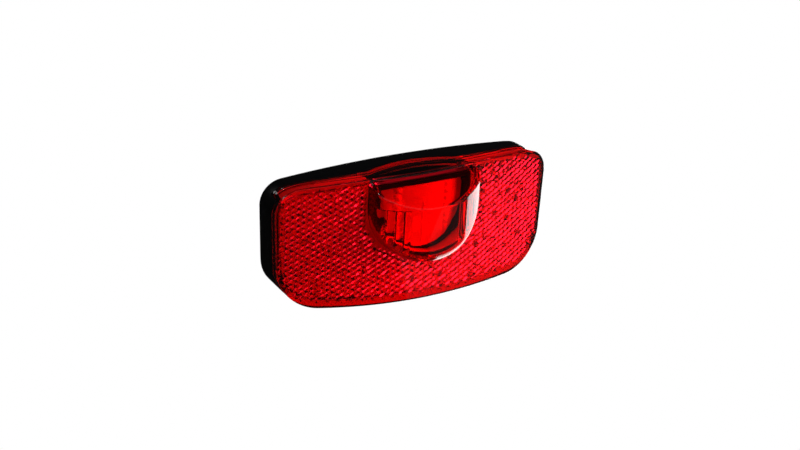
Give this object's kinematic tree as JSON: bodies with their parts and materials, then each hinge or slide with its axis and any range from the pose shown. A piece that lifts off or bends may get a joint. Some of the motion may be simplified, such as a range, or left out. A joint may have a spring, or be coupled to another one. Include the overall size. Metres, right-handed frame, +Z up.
{
  "type": "bicycle rear light",
  "caption": "Rack-mounted bicycle rear light: wide red reflex lens with a dome over its lamp unit, black housing with studs for a carrier plate and blade terminals.",
  "frame": {"origin": "on the flat back of the housing, midway between the axes of the two rack studs", "axes": "+X to the right seen from the front, +Y backwards along the studs into the carrier plate, +Z up; the lens faces -Y"},
  "size_m": [0.0998, 0.0453, 0.0466],
  "materials": {
    "housing_black": "black moulded plastic, slightly glossy",
    "lens_red": "clear red moulded plastic with prisms inside",
    "backing_red": "dark red moulded plastic",
    "seal_rubber": "black soft rubber",
    "bezel_black": "black matt plastic",
    "optic_orange": "orange-red clear plastic with fine pillows",
    "led_clear": "clear epoxy",
    "board_green": "green solder mask",
    "capacitor_sleeve": "dark shrink sleeve",
    "component_black": "black moulded package",
    "steel": "zinc-plated steel",
    "blade_brass": "tinned brass"
  },
  "bodies": {
    "housing": {"rear_housing": "housing_black", "seal_strip": "seal_rubber", "led_bezel": "bezel_black", "led_optic": "optic_orange", "led_left": "led_clear", "led_right": "led_clear", "led_lower": "led_clear", "circuit_board": "board_green", "board_screws": "steel", "standlight_capacitor": "capacitor_sleeve", "capacitor_pad": "seal_rubber", "smoothing_capacitor": "capacitor_sleeve", "bridge_rectifier": "component_black", "controller_chip": "component_black", "resistors": "component_black", "surge_diodes": "component_black", "live_terminal": "blade_brass", "earth_terminal": "blade_brass", "terminal_grommet": "seal_rubber", "rack_studs": "steel", "stud_caps": "bezel_black"},
    "lens": {"front_lens": "lens_red", "reflex_backing": "backing_red"},
    "screw_left": {"lens_screw_left": "steel"},
    "screw_right": {"lens_screw_right": "steel"}
  },
  "joints": [
    {"name": "lens_pull", "type": "slide", "parent": "housing", "child": "lens", "axis": [0, -1, 0], "range_m": [0, 0.03]},
    {"name": "screw_left_out", "type": "slide", "parent": "housing", "child": "screw_left", "axis": [0, 1, 0], "range_m": [0, 0.013]},
    {"name": "screw_right_out", "type": "slide", "parent": "housing", "child": "screw_right", "axis": [0, 1, 0], "range_m": [0, 0.013]}
  ]
}
